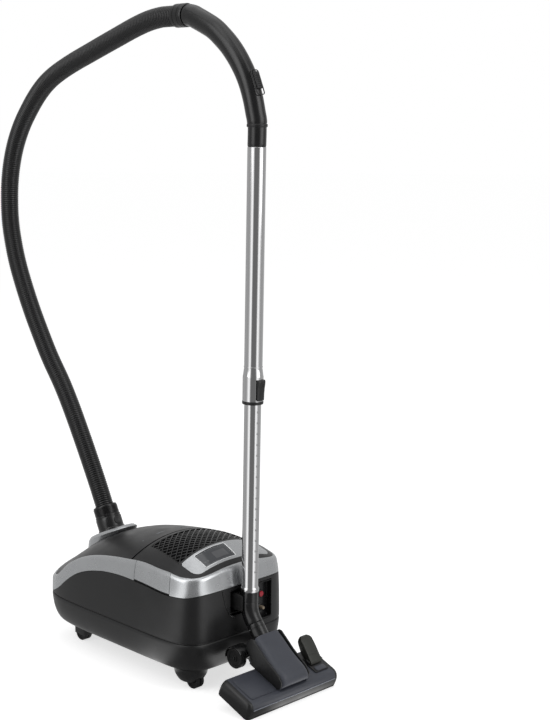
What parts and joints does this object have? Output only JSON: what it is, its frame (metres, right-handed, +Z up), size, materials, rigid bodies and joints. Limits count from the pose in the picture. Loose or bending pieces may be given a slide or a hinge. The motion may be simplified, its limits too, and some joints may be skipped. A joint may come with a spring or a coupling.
{
  "type": "canister vacuum cleaner",
  "caption": "Canister vacuum cleaner on castors, hose on its front lid, telescopic wand with floor head parked upright at the rear.",
  "frame": {"origin": "middle of the bounding box seen from above, at floor level, without the hose", "axes": "+Z up, -Y towards the machine's front, +X to the machine's left"},
  "size_m": [0.295, 0.9354, 1.3388],
  "materials": {
    "black_plastic": "satin",
    "black_gloss": "gloss",
    "silver_paint": "satin metallic",
    "chrome_steel": "polished",
    "steel": "plain",
    "aluminium": "plain",
    "hose_plastic": "gloss",
    "black_rubber": "matt",
    "grey_plastic": "satin",
    "blue_grey_plastic": "satin",
    "fleece": "matt",
    "bristle": "matt",
    "glass_dark": "gloss",
    "red_plastic": "gloss"
  },
  "bodies": {
    "machine": {"lower_shell": "black_plastic", "upper_shell": "black_plastic", "front_band": "silver_paint", "side_band_left": "silver_paint", "side_band_right": "silver_paint", "rear_band": "silver_paint", "rear_cover": "black_plastic", "exhaust_grille": "black_gloss", "control_console": "silver_paint", "display_window": "glass_dark", "lid_hinge_pin": "steel", "bulkhead": "grey_plastic", "motor_housing": "grey_plastic", "motor_filter": "fleece", "reel_bracket": "grey_plastic", "bag_holder": "grey_plastic", "dust_bag": "fleece", "exhaust_filter": "fleece", "parking_recess": "black_plastic", "wand_cradle": "black_rubber", "lead_outlet": "black_plastic", "outlet_lamp": "red_plastic", "handle": "black_gloss", "upper_wand": "chrome_steel", "wand_ring": "black_plastic"},
    "lid": {"front_lid": "black_plastic", "inlet_collar": "silver_paint", "hose": "hose_plastic"},
    "connector": {"hose_connector": "black_gloss"},
    "button_rear": {"connector_button_rear": "black_plastic"},
    "button_front": {"connector_button_front": "black_plastic"},
    "latch": {"lid_latch": "black_plastic"},
    "rewind_pedal": {"rewind_pedal": "silver_paint"},
    "power_pedal": {"power_pedal": "silver_paint"},
    "motor_rotor": {"motor_fan": "aluminium"},
    "reel": {"cord_reel": "grey_plastic", "wound_lead": "black_rubber"},
    "cuff": {"hose_cuff": "black_gloss"},
    "slider": {"air_slider": "black_plastic"},
    "wand_button": {"wand_button": "black_plastic"},
    "lower_wand": {"lower_wand": "chrome_steel", "elbow_cuff": "black_gloss"},
    "tail": {"elbow_tail": "black_gloss"},
    "head_wheel_left": {"head_wheel_left": "black_rubber"},
    "head_wheel_right": {"head_wheel_right": "black_rubber"},
    "floor_head": {"sole_plate": "black_plastic", "head_cover": "blue_grey_plastic", "neck_cover": "blue_grey_plastic", "head_panel": "blue_grey_plastic", "pedal_base": "black_plastic"},
    "brush": {"brush_strip": "bristle"},
    "foot_pedal": {"foot_pedal": "black_plastic"},
    "castor_front_left": {"castor_front_left_fork": "black_plastic"},
    "wheel_front_left": {"castor_front_left_wheel": "black_rubber"},
    "castor_front_right": {"castor_front_right_fork": "black_plastic"},
    "wheel_front_right": {"castor_front_right_wheel": "black_rubber"},
    "castor_rear_left": {"castor_rear_left_fork": "black_plastic"},
    "wheel_rear_left": {"castor_rear_left_wheel": "black_rubber"},
    "castor_rear_right": {"castor_rear_right_fork": "black_plastic"},
    "wheel_rear_right": {"castor_rear_right_wheel": "black_rubber"}
  },
  "joints": [
    {"name": "lid_hinge", "type": "hinge", "parent": "machine", "child": "lid", "pos_m": [0, -0.02452, 0.27668], "axis": [-1, 0, 0], "range_deg": [0, 60], "deforming": ["hose"]},
    {"name": "connector_swivel", "type": "hinge", "parent": "lid", "child": "connector", "pos_m": [0, -0.2405, 0.226], "axis": [0, -0.454, 0.891], "continuous": true},
    {"name": "connector_button_rear", "type": "slide", "parent": "connector", "child": "button_rear", "axis": [0, -0.891, -0.454], "range_m": [0, 0.0025], "stiffness_N_per_m": 600, "springref_m": -0.001},
    {"name": "connector_button_front", "type": "slide", "parent": "connector", "child": "button_front", "axis": [0, 0.891, 0.454], "range_m": [0, 0.0025], "stiffness_N_per_m": 600, "springref_m": -0.001},
    {"name": "lid_latch_press", "type": "slide", "parent": "machine", "child": "latch", "axis": [0, 1, 0], "range_m": [0, 0.003], "stiffness_N_per_m": 500, "springref_m": -0.001},
    {"name": "rewind_pedal_press", "type": "slide", "parent": "machine", "child": "rewind_pedal", "axis": [0, 0, -1], "range_m": [0, 0.003], "stiffness_N_per_m": 1500, "springref_m": -0.002},
    {"name": "power_pedal_press", "type": "slide", "parent": "machine", "child": "power_pedal", "axis": [0, 0, -1], "range_m": [0, 0.003], "stiffness_N_per_m": 1500, "springref_m": -0.002},
    {"name": "motor_spin", "type": "hinge", "parent": "machine", "child": "motor_rotor", "pos_m": [-0.062, 0, 0.112], "axis": [0, 1, 0], "continuous": true},
    {"name": "reel_spin", "type": "hinge", "parent": "machine", "child": "reel", "pos_m": [0.028, 0.058, 0.115], "axis": [1, 0, 0], "continuous": true},
    {"name": "hose_cuff_swivel", "type": "hinge", "parent": "machine", "child": "cuff", "pos_m": [0, -0.02, 1.3158], "axis": [0, 1, 0], "continuous": true},
    {"name": "air_slider_slide", "type": "slide", "parent": "machine", "child": "slider", "axis": [0, 0.3998, -0.9166], "range_m": [0, 0.008]},
    {"name": "wand_button_press", "type": "slide", "parent": "machine", "child": "wand_button", "axis": [0, -1, 0], "range_m": [0, 0.0023], "stiffness_N_per_m": 800, "springref_m": -0.001},
    {"name": "wand_telescope", "type": "slide", "parent": "machine", "child": "lower_wand", "axis": [0, 0, 1], "range_m": [0, 0.33]},
    {"name": "tail_swivel", "type": "hinge", "parent": "lower_wand", "child": "tail", "pos_m": [0, 0.19603, 0.13291], "axis": [0, 0.6157, -0.788], "range_deg": [-8, 8]},
    {"name": "head_wheel_left_spin", "type": "hinge", "parent": "tail", "child": "head_wheel_left", "pos_m": [0, 0.1915, 0.073], "axis": [1, 0, 0], "continuous": true},
    {"name": "head_wheel_right_spin", "type": "hinge", "parent": "tail", "child": "head_wheel_right", "pos_m": [0, 0.1915, 0.073], "axis": [1, 0, 0], "continuous": true},
    {"name": "head_tilt", "type": "hinge", "parent": "tail", "child": "floor_head", "pos_m": [0, 0.22114, 0.10076], "axis": [1, 0, 0], "range_deg": [0, 7.5]},
    {"name": "foot_pedal_rock", "type": "hinge", "parent": "floor_head", "child": "foot_pedal", "pos_m": [-0.094, 0.27028, 0.05372], "axis": [1, 0, 0], "range_deg": [0, 7]},
    {"name": "brush_drop", "type": "slide", "parent": "floor_head", "child": "brush", "axis": [0, -0.3584, -0.9336], "range_m": [0, 0.005]},
    {"name": "castor_front_left_swivel", "type": "hinge", "parent": "machine", "child": "castor_front_left", "pos_m": [0.088, -0.2435, 0.04], "axis": [0, 0, 1], "continuous": true},
    {"name": "castor_front_left_roll", "type": "hinge", "parent": "castor_front_left", "child": "wheel_front_left", "pos_m": [0.088, -0.2315, 0.0165], "axis": [1, 0, 0], "continuous": true},
    {"name": "castor_front_right_swivel", "type": "hinge", "parent": "machine", "child": "castor_front_right", "pos_m": [-0.088, -0.2435, 0.04], "axis": [0, 0, 1], "continuous": true},
    {"name": "castor_front_right_roll", "type": "hinge", "parent": "castor_front_right", "child": "wheel_front_right", "pos_m": [-0.088, -0.2315, 0.0165], "axis": [1, 0, 0], "continuous": true},
    {"name": "castor_rear_left_swivel", "type": "hinge", "parent": "machine", "child": "castor_rear_left", "pos_m": [0.088, 0.1065, 0.04], "axis": [0, 0, 1], "continuous": true},
    {"name": "castor_rear_left_roll", "type": "hinge", "parent": "castor_rear_left", "child": "wheel_rear_left", "pos_m": [0.088, 0.1185, 0.0165], "axis": [1, 0, 0], "continuous": true},
    {"name": "castor_rear_right_swivel", "type": "hinge", "parent": "machine", "child": "castor_rear_right", "pos_m": [-0.088, 0.1065, 0.04], "axis": [0, 0, 1], "continuous": true},
    {"name": "castor_rear_right_roll", "type": "hinge", "parent": "castor_rear_right", "child": "wheel_rear_right", "pos_m": [-0.088, 0.1185, 0.0165], "axis": [1, 0, 0], "continuous": true}
  ],
  "couplings": [
    {"joint": "brush_drop", "follows": "foot_pedal_rock", "m_per_rad": 0.03274}
  ]
}
